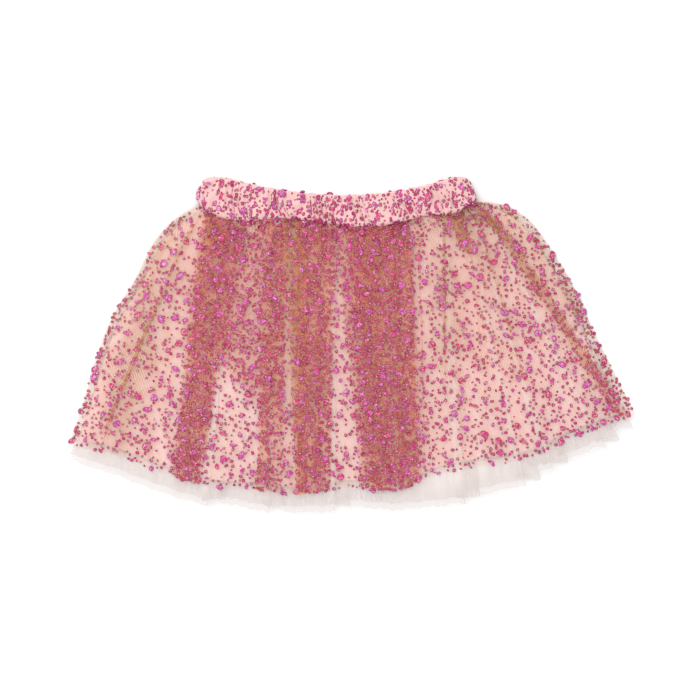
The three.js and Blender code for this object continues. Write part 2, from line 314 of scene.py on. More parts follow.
# %% Heights of the layers
# Sizes are in millimetres. SEAM_SLOPE, SEAM_TUCK, SEAM_CURL_AT and RIDGE_START are shares of the way down,
# and SEAM_SQUEEZE is the share of a stack's height that is left at the seam.
WALL = 1.0  # the solid model's walls
PITCH = 1.5  # from one wall to the next
FRONT_EASE = 0.35
SIDE_ROUND = 26.0
TULLE_LEFT_INSET = 4.0
TULLE_RIGHT_INSET = 7.0
TULLE_EDGE = 2.4
TULLE_ROUND = 16.0
PUFF = 2.2
SEAM_HEIGHT = 6.6
SEAM_SLOPE = 0.1
SEAM_TUCK = 0.012
SEAM_CURL = 1.7
SEAM_CURL_AT = 0.009
SEAM_SQUEEZE = 0.3
RIDGE_START = 0.25
RIDGES = [  # across, width, height in mm
    (0.075, 0.034, 2.4),
    (0.27, 0.03, 1.3),
    (0.74, 0.028, 1.8),
    (0.83, 0.034, 2.6),
    (0.92, 0.03, 2.0),
]


def level(count):
    """The middle of one wall of the stack."""
    return WALL / 2 + count * PITCH


TULLE_TOP = level(4) + FRONT_EASE
NET_TOP = level(5) + 2 * FRONT_EASE


def quarter_sine(part):
    """Rises fast from 0 and levels off at 1."""
    return np.sin(np.clip(part, 0.0, 1.0) * np.pi / 2)


def side_distance(across, down):
    """How far the nearer side is, in millimetres."""
    return np.minimum(across, 1 - across) * row_width(down)


def swell(across, down):
    """The height in millimetres that all front layers share."""
    height = PUFF * np.sin(np.pi * np.clip(down, 0, 1)) * np.sin(np.pi * np.clip(across, 0, 1))
    for middle, width, rise in RIDGES:
        height = height + rise * np.exp(-((across - middle) / width) ** 2) * smoothstep(down, 0, RIDGE_START)
    return height * quarter_sine(side_distance(across, down) / (2 * SIDE_ROUND))


def net_front_height(across, down):
    height = lerp(level(1), NET_TOP, quarter_sine(side_distance(across, down) / SIDE_ROUND))
    return height + swell(across, down)


def tulle_front_height(across, down):
    inside = side_distance(across, down) - TULLE_LEFT_INSET
    return lerp(TULLE_EDGE, TULLE_TOP, quarter_sine(inside / TULLE_ROUND)) + swell(across, down)


print("front layers, mm up: tulle", TULLE_TOP, "net", NET_TOP)

# %% [markdown]
# ## Sheets from rows of points
#
# A sheet is a grid: rows of points from waist to hem. Its UV map is the flat cloth in metres: each row is
# laid out straight at its own length, folds and gathers included. Woven and knitted patterns then follow
# the folds at their real scale, and the dots can be printed on the flat cloth. A sheet faces up or down,
# whichever is outwards.
#
# Two more things go with each sheet. Every face says what share of the dots it gets, and every point says
# how tightly the cloth is gathered there, because net that is pushed together covers more and looks tan.

# %% Grid helpers
ROW_BIAS = 1.55  # above 1, rows lie closer together near the waist
PLAIN_DOTS = 0.8  # share of the dots on plain cloth
SEAM_ROWS = 6  # rows of faces with all the dots
EDGE_CLEAR = 1.0  # mm at each side that stay bare
EDGE_BAND = 3.5  # mm at each side with all the dots
UNDER_BY = 0.1  # mm that a face lies back from the fold's edge where it counts as folded under
FOLDED_UNDER_DOTS = 0.72  # fewer dots inside the stacks, or they turn into one even colour
BUNCH_FADES = 0.5  # share of the way down from which bunched places fade
BUNCHED = [  # x at the waist, x at the hem, width, how much tighter, share that is left at the hem
    (-158.0, -202.0, 27.0, 5.6, 0.6),
    (-50.0, -51.0, 8.0, 3.0, 0.7),
    (72.0, 84.0, 24.0, 3.4, 0.2),
    (98.0, 150.0, 18.0, 2.4, 0.1),
    (112.0, 236.0, 26.0, 3.6, 0.3),
]


def cloth_object(name, points, quads, cloth, dots, tight=0.0):
    """A smooth mesh object from points in millimetres; cloth holds the flat cloth's place for each corner."""
    mesh = bpy.data.meshes.new(name)
    mesh.from_pydata((points.reshape(-1, 3) * MM).tolist(), [], quads.tolist())
    mesh.uv_layers.new(name="Cloth").data.foreach_set("uv", cloth.astype(np.float32).reshape(-1))
    mesh.attributes.new("dots", "FLOAT", "FACE").data.foreach_set("value", dots)
    tight = tight + np.zeros(len(mesh.vertices))
    mesh.attributes.new("tight", "FLOAT", "POINT").data.foreach_set("value", tight)
    mesh.polygons.foreach_set("use_smooth", [True] * len(quads))
    mesh.update()
    return link(bpy.data.objects.new(name, mesh))


def tightness(points, bunched):
    """How much closer the cloth is gathered here than at the hem, with a few places that are bunched more."""
    down = np.linspace(0, 1, len(points))[:, None] ** ROW_BIAS + np.zeros(points.shape[:2])
    tight = row_width(1.0) / row_width(down) - 1
    for waist_x, hem_x, width, extra, left in bunched:
        extra = extra * lerp(1.0, left, smoothstep(down, BUNCH_FADES, 1.0))
        tight = tight + extra * np.exp(-((points[:, :, 0] - lerp(waist_x, hem_x, down)) / width) ** 2)
    return tight.reshape(-1)


def dot_shares(points):
    """The share of dots for each face: all at the seam and the sides, fewer where the cloth lies under."""
    x = (points[:-1, :, 0] + points[1:, :, 0]) / 2
    middle = (x[:, :-1] + x[:, 1:]) / 2
    dots = np.full(middle.shape, PLAIN_DOTS)
    dots[:SEAM_ROWS] = 1.0
    folded_under = middle < np.maximum.accumulate(middle, axis=1) - UNDER_BY
    dots[folded_under] *= FOLDED_UNDER_DOTS
    edge = np.minimum(middle - x[:, :1], x[:, -1:] - middle)
    dots[(edge < EDGE_BAND) & ~folded_under] = 1.0
    dots[edge < EDGE_CLEAR] = 0.0
    return dots.reshape(-1)


def four_corners(grid):
    """What a grid holds at the four corners of each of its faces."""
    corners = [grid[:-1, :-1], grid[1:, :-1], grid[1:, 1:], grid[:-1, 1:]]
    return np.stack(corners, axis=2).reshape(-1, 4, *grid.shape[2:])


def lengths(steps, axis):
    """Running length along a grid's rows or columns, starting at 0."""
    run = np.cumsum(np.linalg.norm(steps, axis=-1), axis=axis)
    return np.concatenate([np.zeros_like(run.take([0], axis)), run], axis)


def flat_cloth(points):
    """Each point's place on the flat cloth in metres: every row laid out straight about its middle."""
    across = lengths(np.diff(points, axis=1), 1)
    across -= across[:, -1:] / 2
    down = lengths(np.diff(points, axis=0), 0).mean(axis=1, keepdims=True)
    return np.stack([across, -down + 0 * across], axis=-1) * MM


def sheet_from_rows(name, row, parts, outward=1, bunched=()):
    """A sheet from a function that gives one row of points; outward is 1 if it faces up and -1 if down."""
    points = np.array([row(part) for part in parts])
    numbers = np.arange(points[:, :, 0].size).reshape(points.shape[:2])
    quads = four_corners(numbers)[:, ::outward]
    cloth = flat_cloth(points).reshape(-1, 2)[quads]
    sheet = cloth_object(name, points, quads, cloth, dot_shares(points), tightness(points, bunched))
    print(name, "faces:", len(sheet.data.polygons))
    return sheet


SEAM_ALLOWANCE = 1.5  # mm


def top_edge(across):
    """The panels' top edges run up between the two sides of the casing, where they are sewn."""
    return -SEAM_ALLOWANCE / (seam_at(across) - hem_at(across))


# %% [markdown]
# ## Folds
#
# Gathered net doesn't only ripple: where it is pushed together it lies down in knife folds, three layers
# deep. Folds about a centimetre apart slide under one another into a dense band, up to nine layers deep.
# The table holds those folds. Each has the line of its visible edge and its width, at the waist and at the
# hem, and the stretch of the panel along which it is open. Two folds with one stack's name have nearly the
# same edge, the first on top, and each stack of a band reaches back under the stack before it. Every row of
# the sheet is then one path that runs to a fold's edge, turns back under itself to the fold's hidden side,
# and runs on again.

# %% Table of the outer net's folds
# One fold: its stack, its edge's x and its width in mm, both at the waist and at the hem, and the shares of
# the way down where it opens and closes, with the stretch that this takes. Most run from waist to hem.
Fold = namedtuple(
    "Fold", "stack waist_x hem_x waist_width hem_width opens closes ease", defaults=(0.0, 1.2, 0.07))
NET_FOLDS = [
    Fold("far left", -125.8, -213.0, 2.0, 3.5, 0.1, 0.9, 0.07),
    Fold("left 1", -111.0, -143.0, 15.0, 9.0),
    Fold("left 2", -98.0, -136.0, 21.0, 10.0),
    Fold("left 3", -85.0, -129.0, 38.0, 21.0),
    Fold("left 3", -86.5, -131.0, 15.0, 8.0),
    Fold("inner left 1", -67.0, -70.0, 5.0, 11.0),
    Fold("inner left 2", -54.0, -59.0, 26.0, 90.0, 0.0, 0.5, 0.34),
    Fold("inner left 2", -56.0, -60.5, 5.0, 21.0),
    Fold("centre 1", -38.0, -39.0, 20.0, 8.0),
    Fold("centre 2", -26.0, -29.0, 22.0, 16.0),
    Fold("centre 3", -13.0, -18.0, 34.0, 27.0),
    Fold("centre 3", -14.5, -19.5, 14.0, 12.0),
    Fold("inner right 1", 9.0, 20.0, 26.0, 12.0),
    Fold("inner right 2", 22.0, 32.0, 28.0, 22.0),
    Fold("inner right 3", 35.0, 46.0, 36.0, 29.0),
    Fold("inner right 4", 49.0, 59.0, 42.0, 40.0),
    Fold("inner right 4", 47.5, 57.0, 16.0, 15.0),
    Fold("crease 1", 56.0, 62.5, 1.2, 1.0),
    Fold("crease 2", 80.0, 78.0, 2.0, 1.2, 0.0, 0.55, 0.07),
    Fold("right tuck", 95.0, 118.0, 13.0, 2.0, 0.0, 0.2, 0.1),
    Fold("bent crease", 98.0, 162.0, 1.8, 1.3, 0.28, 0.7, 0.07),
    Fold("right edge", 103.5, 234.0, 8.0, 8.0, 0.1, 0.95, 0.07),
]
OPENS_WITHIN = 0.001


def fold_edge(fold, down):
    """Where across the plan the fold's visible edge is."""
    return (lerp(fold.waist_x, fold.hem_x, down) - left_x(down)) / row_width(down)


def fold_width(fold, down):
    """How much of the plan's width the fold takes here: nothing where it is closed."""
    opened = smoothstep(down, fold.opens - fold.ease, fold.opens + OPENS_WITHIN)
    opened = opened * (1 - smoothstep(down, fold.closes, fold.closes + fold.ease))
    return lerp(fold.waist_width, fold.hem_width, down) * opened / row_width(down)


def stacks_of(folds):
    """The folds grouped into their stacks, in the table's order."""
    names = list(dict.fromkeys(fold.stack for fold in folds))
    return [[fold for fold in folds if fold.stack == name] for name in names]


print("net folds:", len(NET_FOLDS), "in stacks:", len(stacks_of(NET_FOLDS)))

# %% The path of one row
TURN = (75.0, 45.0, 15.0, -15.0, -45.0, -75.0)  # degrees round the cloth's turn at a fold
RAMP_UP = 2.0  # mm in which the cloth climbs onto a stack below it
CALM = 0.06  # share of a stretch, beside a fold, where the cloth isn't loose
FOLD_POINTS = 7
LEAST_POINTS = 8


def point_count(spacing, waist_length, hem_length=0.0):
    """Points on a stretch of cloth: one for each spacing at the waist, or for every second one at the hem."""
    return max(LEAST_POINTS, round(waist_length / spacing), round(hem_length / spacing / 2))


def folded_row(folds, down, drop, spacing, first=0.0, last=1.0):
    """Places across, climb in mm, looseness and stretch number of one row of a folded sheet."""
    stacks = stacks_of(folds)
    edges = [[fold_edge(fold, down) for fold in stack] for stack in stacks]
    widths = [[fold_width(fold, down) for fold in stack] for stack in stacks]
    hidden = [min(np.subtract(edge, width)) for edge, width in zip(edges, widths)]
    tall = [2 * len(stack) * drop for stack in stacks]
    ramp_up = RAMP_UP / row_width(down)
    parts = []

    def put(places, heights, slack, number, after):
        """Adds points, lifted by the stacks that come after and lie underneath."""
        lower = range(after, len(stacks))
        lifts = [tall[n] * smoothstep(places, hidden[n] - ramp_up, hidden[n]) for n in lower]
        climb = heights + sum(lifts) + 0 * places
        parts.append(np.stack([places, climb, slack + 0 * places, number + 0 * places]))

    def turn(place, side, height, number, after):
        """Adds the cloth's round turn at a fold's visible edge (side 1) or hidden one (side -1)."""
        angles = np.radians(TURN)
        out = side * drop / 2 * np.cos(angles) / row_width(down)
        put(place + out, height - drop / 2 + drop / 2 * np.sin(angles), 0.0, number, after)

    at, at_waist, at_hem = first, float(left_x(0.0)), float(left_x(1.0))
    for order, stack in enumerate(stacks):
        top = stack[0]
        count = point_count(spacing, top.waist_x - at_waist, top.hem_x - at_hem)
        part = np.linspace(0, 1, count, endpoint=False)
        slack = smoothstep(part, 0, CALM) * (1 - smoothstep(part, 1 - CALM, 1))
        put(lerp(at, edges[order][0], part), 0.0, slack, order, order)
        height = tall[order]
        for place, (edge, width) in enumerate(zip(edges[order], widths[order])):
            onward = edges[order][(place + 1) % len(stack)]
            turn(edge, 1, height, order + (place > 0), order + 1)
            put(np.linspace(edge, edge - width, FOLD_POINTS)[1:-1], height - drop, 0.0, order + 1, order + 1)
            turn(edge - width, -1, height - drop, order + 1, order + 1)
            height -= 2 * drop
            put(np.linspace(edge - width, onward, FOLD_POINTS)[1:-1], height, 0.0, order + 1, order + 1)
        at, at_waist, at_hem = edges[order][0], top.waist_x, top.hem_x
    part = np.linspace(0, 1, point_count(spacing, float(right_x(0.0)) - at_waist))
    put(lerp(at, last, part), 0.0, smoothstep(part, 0, CALM), len(stacks), len(stacks))
    return np.concatenate(parts, axis=1)


# %% [markdown]
# ## The outer net's front
#
# Between the folds the net is pushed up into small gathers at the seam. Each gather has its own height and
# runs out at its own distance from the band, because an even wave looks machined. The panel is worked out
# row by row, with the rows closer together near the seam where the gathers are steep.

# %% Gathers and net front
NET_DROP = 0.22  # mm from one layer of a fold to the next
NET_SPACING = 0.62  # mm between points along the seam
GATHERS = 62
GATHER_RISE = (1.6, 3.6)
GATHER_REACH = (0.06, 0.4)
GATHER_STRAY = (0.8, 0.55)  # how far the gathers' spacing strays, and how often
GATHERS_START = 0.01
CRINKLE = 0.22  # mm
CRINKLE_WAVES = ((63, 3.1, 0.2), (101, 4.3, 1.7), (147, 2.2, 4.1), (41, 6.0, 2.9))
NET_ROWS = 58

chance = np.random.default_rng(7)
gather_rises = chance.uniform(*GATHER_RISE, GATHERS + 3)
gather_reaches = chance.uniform(*GATHER_REACH, GATHERS + 3)


def gathers(across, down):
    """The small gathers' height in millimetres."""
    turns = across * GATHERS + GATHER_STRAY[0] * np.sin(across * GATHERS * GATHER_STRAY[1])
    number = np.clip(np.floor(turns).astype(int) + 1, 0, GATHERS + 2)
    fade = 1 - smoothstep(down, GATHERS_START, gather_reaches[number])
    return gather_rises[number] * fade * (1 - np.cos(2 * np.pi * turns)) / 2


def crinkle(across, down):
    """Slight uneven waves that run down the cloth."""
    total = sum(np.sin(turns * across + bend * down + start) for turns, bend, start in CRINKLE_WAVES)
    return CRINKLE * (total / len(CRINKLE_WAVES) + 1)


def net_row(part):
    """One row of the front net: the folded path, gathered near the seam and curled up against the band."""
    across, climb, loose, _ = folded_row(NET_FOLDS, part, NET_DROP, NET_SPACING)
    down = lerp(top_edge(np.clip(across, 0, 1)), 1.0, part)
    x, y = plan(across, down)
    slope = smoothstep(down, 0, SEAM_SLOPE)
    folds = climb * lerp(SEAM_SQUEEZE, 1, slope)
    folds = folds + loose * gathers(across, down) * smoothstep(down, 0, SEAM_TUCK)
    z = lerp(SEAM_HEIGHT, net_front_height(across, down), slope) + folds + crinkle(across, down)
    curl = SEAM_CURL * np.exp(-((down / SEAM_CURL_AT - 1) ** 2)) * gathers(across, 0 * down) / GATHER_RISE[1]
    return np.stack([x, y + curl, z], axis=-1)


net_parts = np.linspace(0, 1, NET_ROWS) ** ROW_BIAS
net_front = sheet_from_rows("net_front_cloth", net_row, net_parts, bunched=BUNCHED)

# %% [markdown]
# ## The net's back, the tulle and the lining
#
# The back of the net lies flat under everything. The tulle underskirt has its own knife folds, one at each
# step of its hem: the hem of the fold that lies on top hangs lower than the next one's. The lining is a
# plain short slip that shows only as pink behind the net.

# %% Net back
BACK_SHORT = 4.0
BACK_COLUMNS = 180
PLAIN_ROWS = 30
BACK_RIPPLE = 0.18  # mm
NET_BACK_RIPPLE = 0.1  # mm
RIPPLE_TURNS = 70
RIPPLE_LEAN = 4
RIPPLE_START = 0.3


def plain_row(part, columns, hem, height, insets=(0.0, 0.0)):
    """A row of a sheet without folds, set in from the plan's two sides."""
    across = np.linspace(insets[0] / row_width(part), 1 - insets[1] / row_width(part), columns)
    down = lerp(top_edge(across), reach(across, hem), part)
    x, y = plan(across, down)
    return np.stack([x, y, height(across, down)], axis=-1)


def back_height(count, ripple=BACK_RIPPLE):
    """A layer of the flat back, with a faint ripple."""
    def height(across, down):
        wave = np.sin(RIPPLE_TURNS * across + RIPPLE_LEAN * down)
        return level(count) + ripple * wave * smoothstep(down, 0, RIPPLE_START)

    return height


def net_back_row(part):
    """One row of the back net, a little shorter than the front."""
    height = back_height(0, NET_BACK_RIPPLE)
    return plain_row(part, BACK_COLUMNS, lambda x: net_hem_y(x) + BACK_SHORT, height)


plain_parts = np.linspace(0, 1, PLAIN_ROWS)
net_back = sheet_from_rows("net_back_cloth", net_back_row, plain_parts, -1)

# %% Tulle underskirt
TULLE_DROP = 0.3
TULLE_SPACING = 1.6
TULLE_FOLDS = [  # x at the waist, width at the waist, width at the hem: one for each step of the hem
    (-96.0, 5.0, 5.0),
    (-60.0, 5.0, 5.0),
    (-14.0, 4.0, 4.0),
    (77.0, 5.0, 6.0),
    (90.0, 4.0, 5.0),
    (96.0, 3.0, 6.0),
    (100.0, 2.0, 5.0),
]
TULLE_ROWS = 40
TULLE_CLOSES = 2.0  # past the hem, so every fold runs right through it
TULLE_BACK_SHORT = 5.0  # mm
TULLE_BACK_SHIFT = 13.0  # mm that the back's steps lie to the right of the front's
HEM_WAVES = ((0.31, 0.5, 0.0), (0.83, 0.35, 1.3), (1.9, 0.18, 0.4))


def tulle_folds(shift=0.0):
    """One knife fold at each step of the hem."""
    steps = enumerate(zip(TULLE_FOLDS, TULLE_HEM[1:]))
    return [Fold(f"step {number}", waist_x, hem[0][0] + shift, waist_width, hem_width, closes=TULLE_CLOSES)
            for number, ((waist_x, waist_width, hem_width), hem) in steps]


def tulle_hem_y(x, number, rise):
    """The hem of one stretch of the underskirt, with the slight waver of cut tulle."""
    y = np.zeros_like(x)
    for place, stretch in enumerate(TULLE_HEM):
        table = np.array(stretch)
        y = np.where(number == place, np.interp(x, table[:, 0], table[:, 1]), y)
    waver = sum(size * np.sin(pace * x + start) for pace, size, start in HEM_WAVES)
    return y + rise + waver


def tulle_row(part, height, rise=0.0, shift=0.0):
    """One row of the underskirt; rise and shift move its hem and the hem's steps."""
    edges = [TULLE_LEFT_INSET / row_width(part), 1 - TULLE_RIGHT_INSET / row_width(part)]
    across, climb, _, number = folded_row(tulle_folds(shift), part, TULLE_DROP, TULLE_SPACING, *edges)
    bottom = reach(across, lambda x: tulle_hem_y(x, number, rise))
    down = lerp(top_edge(across), bottom, part)
    x, y = plan(across, down)
    z = height(across, down) + climb
    return np.stack([x, y, z], axis=-1)


tulle_parts = np.linspace(0, 1, TULLE_ROWS)
tulle_front = sheet_from_rows(
    "tulle_front_cloth", lambda part: tulle_row(part, tulle_front_height), tulle_parts)
tulle_back = sheet_from_rows(
    "tulle_back_cloth",
    lambda part: tulle_row(part, back_height(1), TULLE_BACK_SHORT, TULLE_BACK_SHIFT), tulle_parts, -1)

# %% Lining
LINING_LEFT_INSET = (6.0, 8.0)  # mm at the waist and at the hem
LINING_RIGHT_INSET = (6.0, 11.0)
LINING_SHORT = 6.0
LINING_COLUMNS = 120
LINING_UNDER = 0.6


def lining_row(part, height):
    """One row of the lining, set in from both sides and shorter than the net."""
    insets = (lerp(*LINING_LEFT_INSET, part), lerp(*LINING_RIGHT_INSET, part))
    return plain_row(part, LINING_COLUMNS, lambda x: net_hem_y(x) + LINING_SHORT, height, insets)


def lining_front_height(across, down):
    """The lining lies just under the tulle, also where the tulle comes down at the side."""
    below = np.minimum(level(3) + swell(across, down), tulle_front_height(across, down) - LINING_UNDER)
    return np.maximum(below, level(1) + LINING_UNDER)


def lining_back_height(across, down):
    """The back lining lies on the back tulle, and under the front one at the sides."""
    below = np.minimum(back_height(2)(across, down), tulle_front_height(across, down) - 2 * LINING_UNDER)
    return np.maximum(below, level(1) + LINING_UNDER / 2)


lining_front = sheet_from_rows(
    "lining_front_cloth", lambda part: lining_row(part, lining_front_height), plain_parts)
lining_back = sheet_from_rows(
    "lining_back_cloth", lambda part: lining_row(part, lining_back_height), plain_parts, -1)

# %% [markdown]
# ## The waistband
#
# A soft elastic in a casing: when it is slack, the casing puckers across the band. It is one closed ring of
# wall. Each pucker has its own width and depth, and they fade at the band's two edges, where the cloth is
# folded or sewn. The back lies flat.

# %% Waistband
BAND_WALL = 4.2  # mm
BAND_HOLLOW = 0.6  # mm
BAND_LEFT = (-128.5, -124.5)  # x of the band's left end, at its lower and its upper edge
BAND_RIGHT = (105.5, 98.0)
BAND_BOWS = (5.0, 1.5)  # mm that its left and right end bow out
BOW_RISE = 0.8
BAND_ROWS = 18
BAND_FRONT_COLUMNS = 330
BAND_BACK_COLUMNS = 90
BAND_END_STEPS = 12
PUCKERS = 29
PUCKER_DEPTH = (1.2, 2.7)  # mm
PUCKER_STRAY = (0.7, 0.45)  # how far the puckers' spacing strays, and how often
PUCKER_LEAN = (0.5, 3.0, 40)  # how far they lean, and how fast that changes up the band and along it
PUCKER_ROUND = 1.6
PUCKER_AT_EDGES = 0.25
PUCKER_SINK = 0.5  # mm
EDGE_WAVES = ((0.9, 0.22, 0.0), (0.37, 0.3, 1.1), (2.1, 0.16, 2.0))
pucker_depths = chance.uniform(*PUCKER_DEPTH, PUCKERS + 2)


def puckers(along, up):
    """Height of the casing's puckers in millimetres."""
    stray, often = PUCKER_STRAY
    lean, rise, change = PUCKER_LEAN
    turns = along * PUCKERS + stray * np.sin(along * PUCKERS * often)
    turns = turns + lean * np.sin(rise * up + along * change)
    number = np.clip(np.floor(turns).astype(int) + 1, 0, PUCKERS + 1)
    rounded = 1 - np.abs(np.cos(np.pi * turns)) ** PUCKER_ROUND
    fade = np.sin(np.pi * np.clip(up, 0.02, 0.98)) ** 0.6
    return pucker_depths[number] * rounded * lerp(PUCKER_AT_EDGES, 1, fade)


def band_fullness(up):
    """How much of its full thickness the band has at this height: its two edges are rounded."""
    return 0.5 + 0.5 * np.sqrt(np.clip(1 - (2 * up - 1) ** 6, 0, 1))


def band_loop(up):
    """Outer and inner points of the ring at one height, clockwise seen from the hem."""
    bow = np.sin(np.pi * up ** BOW_RISE)
    turn = (BAND_WALL + BAND_HOLLOW) / 2
    start = lerp(*BAND_LEFT, up) - BAND_BOWS[0] * bow + turn + BAND_WALL / 2
    end = lerp(*BAND_RIGHT, up) + BAND_BOWS[1] * bow - turn - BAND_WALL / 2
    front = np.linspace(0, 1, BAND_FRONT_COLUMNS)
    back = np.linspace(1, 0, BAND_BACK_COLUMNS)
    angles = np.pi * (0.5 - np.arange(1, BAND_END_STEPS) / BAND_END_STEPS)
    x = np.concatenate([lerp(start, end, front), end + turn * np.cos(angles),
                        lerp(start, end, back), start - turn * np.cos(angles)])
    side = np.concatenate([0 * front, np.cos(angles), 0 * back, -np.cos(angles)])
    lift = np.concatenate([0 * front + 1, np.sin(angles), 0 * back - 1, -np.sin(angles)])
    puckered = np.concatenate([puckers(front, up), 0 * angles, 0 * back, 0 * angles])
    half = BAND_WALL * band_fullness(up) / 2
    middle = BAND_WALL / 2 + turn
    z = middle + lift * turn

    def place(x_at, z_at):
        ripple = sum(size * np.sin(pace * x_at + start) for pace, size, start in EDGE_WAVES) * up ** 4
        return np.stack([x_at, lerp(seam_y(x_at), band_top_y(x_at) + ripple, up), z_at], axis=-1)

    raised = puckered * band_fullness(up) - PUCKER_SINK * (puckered > 0)
    outer = place(x + side * half, z + lift * half + raised)
    inner = place(x - side * BAND_WALL / 2, z - lift * BAND_WALL / 2)
    return outer, inner


def ring_mesh(name, outer, inner):
    """A closed wall round a ring of outer and inner points; only its outside and top edge are dotted."""
    rows, columns = outer.shape[:2]
    loops = np.concatenate([outer, inner[::-1]])
    numbers = np.arange(2 * rows * columns).reshape(2 * rows, columns)
    closed = ((0, 1), (0, 1))
    quads = four_corners(np.pad(numbers, closed, mode="wrap"))
    cloth = four_corners(flat_cloth(np.pad(loops, (*closed, (0, 0)), mode="wrap")))
    dots = np.zeros((2 * rows, columns))
    dots[:rows - 1] = PLAIN_DOTS
    dots[-1] = 1.0
    return cloth_object(name, loops, quads, cloth, dots.reshape(-1))


band_loops = [band_loop(up) for up in np.linspace(1, 0, BAND_ROWS)]
waistband = ring_mesh("waistband_cloth", *[np.array([loop[side] for loop in band_loops]) for side in (0, 1)])
print("waistband faces:", len(waistband.data.polygons))

# %% [markdown]
# ## Net and tulle
#
# Net and tulle have six-sided holes. Three cosines at 60 degrees to each other give exactly that lattice:
# their sum peaks at each hole's middle and is low along the threads. The threads cover part of the surface,
# more of it where the net is gathered or pushed together, and the rest is left open by Alpha. Real holes
# are about 1 mm in such net and half that in tulle, too fine to show in a picture of the whole skirt, so
# they are drawn 1.5 mm and 0.9 mm wide.

# %% See-through knitted net
NET_HOLE_MM = 1.5
TULLE_HOLE_MM = 0.9
STREAK_PACE = 1 / 0.011  # a streak is about 11 mm wide
STREAK_SHARE = 0.05  # and twenty times as long
HEM_STRIP = 0.05  # the greyer hem colour shows where the cloth is less tight than this
BUNCH_SHOWS = (1.0, 4.0)  # how tight it is where the bunched colour begins, and where it shows in full


def hex_net(tree, hole_mm, thread):
    """From 0 in a hole to 1 on a thread; thread gives the lattice's levels on a thread and in a hole."""
    flat = add(tree, "ShaderNodeUVMap", uv_map="Cloth")
    pace = 2 * np.pi / (hole_mm * MM) * 2 / np.sqrt(3)
    total = None
    for angle in np.radians((0, 60, 120)):
        way = (pace * np.cos(angle), pace * np.sin(angle), 0)
        along = add(tree, "ShaderNodeVectorMath", {0: flat, 1: way}, operation="DOT_PRODUCT").outputs["Value"]
        wave = add(tree, "ShaderNodeMath", {0: along}, operation="COSINE")
        total = wave if total is None else add(tree, "ShaderNodeMath", {0: total, 1: wave}, operation="ADD")
    return add(tree, "ShaderNodeMapRange", {"Value": total, "From Min": thread[1], "From Max": thread[0]})


def net_material(name, colours, hole_mm, thread, cover, tighter, streaks, hem_colour="", bunched_colour=""):
    """Fine net of matt threads that covers more or less where it is gathered tighter, and more in streaks."""
    material, tree = new_material(name)
    threads = hex_net(tree, hole_mm, thread)
    flat = add(tree, "ShaderNodeUVMap", uv_map="Cloth")
    stretch = (STREAK_PACE, STREAK_PACE * STREAK_SHARE, 0)
    long = add(tree, "ShaderNodeVectorMath", {0: flat, 1: stretch}, operation="MULTIPLY")
    drift = add(tree, "ShaderNodeTexNoise", {"Vector": long, "Scale": 1.0, "Detail": 2.0}).outputs["Fac"]
    colour = add(tree, "ShaderNodeValToRGB", {"Fac": drift}, [(0.38, colours[0]), (0.62, colours[1])])
    tight = add(tree, "ShaderNodeAttribute", attribute_name="tight").outputs["Fac"]
    if hem_colour:
        above = add(tree, "ShaderNodeMapRange", {"Value": tight, "From Max": HEM_STRIP})
        colour = add(tree, "ShaderNodeMix", {
            "Factor": above, 6: linear(hem_colour), 7: colour}, data_type="RGBA").outputs[2]
    if bunched_colour:
        bunch = add(tree, "ShaderNodeMapRange", {
            "Value": tight, "From Min": BUNCH_SHOWS[0], "From Max": BUNCH_SHOWS[1]})
        colour = add(tree, "ShaderNodeMix", {
            "Factor": bunch, 6: colour, 7: linear(bunched_colour)}, data_type="RGBA").outputs[2]
    gathered = add(tree, "ShaderNodeMath", {0: tight, 1: tighter, 2: 1.0}, operation="MULTIPLY_ADD")
    streaked = add(tree, "ShaderNodeMapRange", {
        "Value": drift, "From Min": 0.3, "From Max": 0.7, "To Min": 1 - streaks, "To Max": 1 + streaks})
    share = add(tree, "ShaderNodeMath", {0: gathered, 1: streaked}, operation="MULTIPLY")
    covered = add(tree, "ShaderNodeMath", {0: threads, 1: share}, operation="MULTIPLY")
    alpha = add(tree, "ShaderNodeMath", {0: covered, 1: cover}, operation="MULTIPLY", use_clamp=True)
    net = add(tree, "ShaderNodeBsdfPrincipled", {"Base Color": colour, "Roughness": 0.62, "Alpha": alpha})
    add(tree, "ShaderNodeOutputMaterial", {"Surface": net})
    return material


# Matt polyester net, dyed nude: one layer is barely seen, many are warm brown, and pushed together it is tan
nude_net = net_material(
    "nude polyester net", ("#dc7038", "#f2a478"), NET_HOLE_MM, (-0.9, 0.35),
    cover=0.14, tighter=0.5, streaks=0.5, bunched_colour="#c48e50")
# Soft nylon tulle: a milky white veil, thinnest under the gathers and a little greyer along its cut hem
ivory_tulle = net_material(
    "ivory nylon tulle", ("#f6ece8", "#fbf4f1"), TULLE_HOLE_MM, (-3.5, 2.0),
    cover=1.1, tighter=-0.5, streaks=0.2, hem_colour="#dfd4d0")
print("materials:", nude_net.name, "and", ivory_tulle.name)

# %% [markdown]
# ## Lining and casing cloth
#
# Both are plain-woven cotton. Two sets of waves crossed on the flat cloth stand for the threads, and slow
# noise changes the colour a little from place to place. The casing of the waistband is covered by a layer
# of the outer net, which is drawn on it as a lattice of threads in colour and relief.

# %% Lining and waistband cloth
THREAD_MM = 0.5  # real threads are about 0.25 mm; these are twice as coarse, so that they show
DRIFT_PACE = 45.0  # blotches about 22 mm across
CASING_THREAD = (-0.9, 0.2)
CASING_COVER = 0.4


